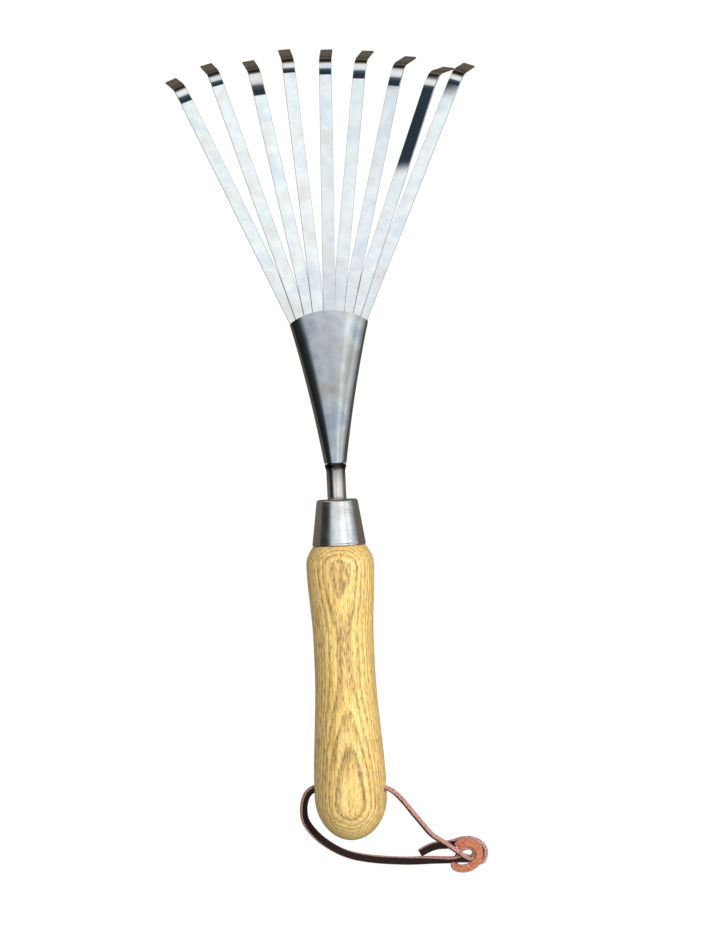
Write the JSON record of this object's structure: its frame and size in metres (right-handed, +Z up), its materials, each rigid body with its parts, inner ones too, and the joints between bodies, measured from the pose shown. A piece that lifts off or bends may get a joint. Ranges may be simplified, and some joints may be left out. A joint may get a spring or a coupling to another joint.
{
  "type": "hand leaf rake",
  "caption": "Short-handled rake with a fan of flat spring-steel tines bent into hooks, an oval steel socket, a turned wooden handle and a knotted leather thong.",
  "frame": {"origin": "on the surface the tool lies on, under the middle of its bounding box without the thong", "axes": "+Y from the handle's butt towards the hooks, +Z up out of the surface; the hooks' tips and the handle's belly touch the surface"},
  "size_m": [0.1594, 0.4272, 0.0362],
  "materials": {
    "ash": "turned ash, satin varnish",
    "ferrule_steel": "spun steel, satin",
    "tang_steel": "polished rod, darkened at the weld",
    "socket_steel": "polished sheet",
    "tine_steel": "bright polished strip",
    "thong_leather": "plain cut thong, dark grain side, tan flesh side"
  },
  "bodies": {
    "tool": {"handle": "ash", "ferrule": "ferrule_steel", "tang": "tang_steel", "socket": "socket_steel", "lanyard_thong": "thong_leather", "lanyard_knot": "thong_leather", "lanyard_tail": "thong_leather"},
    "tine_1": {"tine_1": "tine_steel"},
    "tine_2": {"tine_2": "tine_steel"},
    "tine_3": {"tine_3": "tine_steel"},
    "tine_4": {"tine_4": "tine_steel"},
    "tine_5": {"tine_5": "tine_steel"},
    "tine_6": {"tine_6": "tine_steel"},
    "tine_7": {"tine_7": "tine_steel"},
    "tine_8": {"tine_8": "tine_steel"},
    "tine_9": {"tine_9": "tine_steel"}
  },
  "joints": [
    {"name": "tine_1_flex", "type": "hinge", "parent": "tool", "child": "tine_1", "pos_m": [-0.01806, 0.05897, 0.01702], "axis": [0.9157, 0.402, 0], "range_deg": [-4, 6], "stiffness_Nm_per_rad": 1.75, "deforming": ["tine_1"]},
    {"name": "tine_2_flex", "type": "hinge", "parent": "tool", "child": "tine_2", "pos_m": [-0.01484, 0.06051, 0.01837], "axis": [0.9558, 0.294, 0], "range_deg": [-4, 6], "stiffness_Nm_per_rad": 1.75, "deforming": ["tine_2"]},
    {"name": "tine_3_flex", "type": "hinge", "parent": "tool", "child": "tine_3", "pos_m": [-0.01024, 0.06158, 0.01972], "axis": [0.9839, 0.1788, 0], "range_deg": [-4, 6], "stiffness_Nm_per_rad": 1.75, "deforming": ["tine_3"]},
    {"name": "tine_4_flex", "type": "hinge", "parent": "tool", "child": "tine_4", "pos_m": [-0.00584, 0.06208, 0.02107], "axis": [0.9971, 0.0767, 0], "range_deg": [-4, 6], "stiffness_Nm_per_rad": 1.75, "deforming": ["tine_4"]},
    {"name": "tine_5_flex", "type": "hinge", "parent": "tool", "child": "tine_5", "pos_m": [-0.00044, 0.06218, 0.02242], "axis": [0.9996, -0.0279, 0], "range_deg": [-4, 6], "stiffness_Nm_per_rad": 1.75, "deforming": ["tine_5"]},
    {"name": "tine_6_flex", "type": "hinge", "parent": "tool", "child": "tine_6", "pos_m": [0.00371, 0.06185, 0.02107], "axis": [0.991, -0.134, 0], "range_deg": [-4, 6], "stiffness_Nm_per_rad": 1.75, "deforming": ["tine_6"]},
    {"name": "tine_7_flex", "type": "hinge", "parent": "tool", "child": "tine_7", "pos_m": [0.00803, 0.06101, 0.01972], "axis": [0.969, -0.247, 0], "range_deg": [-4, 6], "stiffness_Nm_per_rad": 1.75, "deforming": ["tine_7"]},
    {"name": "tine_8_flex", "type": "hinge", "parent": "tool", "child": "tine_8", "pos_m": [0.01169, 0.05973, 0.01837], "axis": [0.9354, -0.3535, 0], "range_deg": [-4, 6], "stiffness_Nm_per_rad": 1.75, "deforming": ["tine_8"]},
    {"name": "tine_9_flex", "type": "hinge", "parent": "tool", "child": "tine_9", "pos_m": [0.01539, 0.05887, 0.01702], "axis": [0.9128, -0.4083, 0], "range_deg": [-4, 6], "stiffness_Nm_per_rad": 1.75, "deforming": ["tine_9"]}
  ]
}
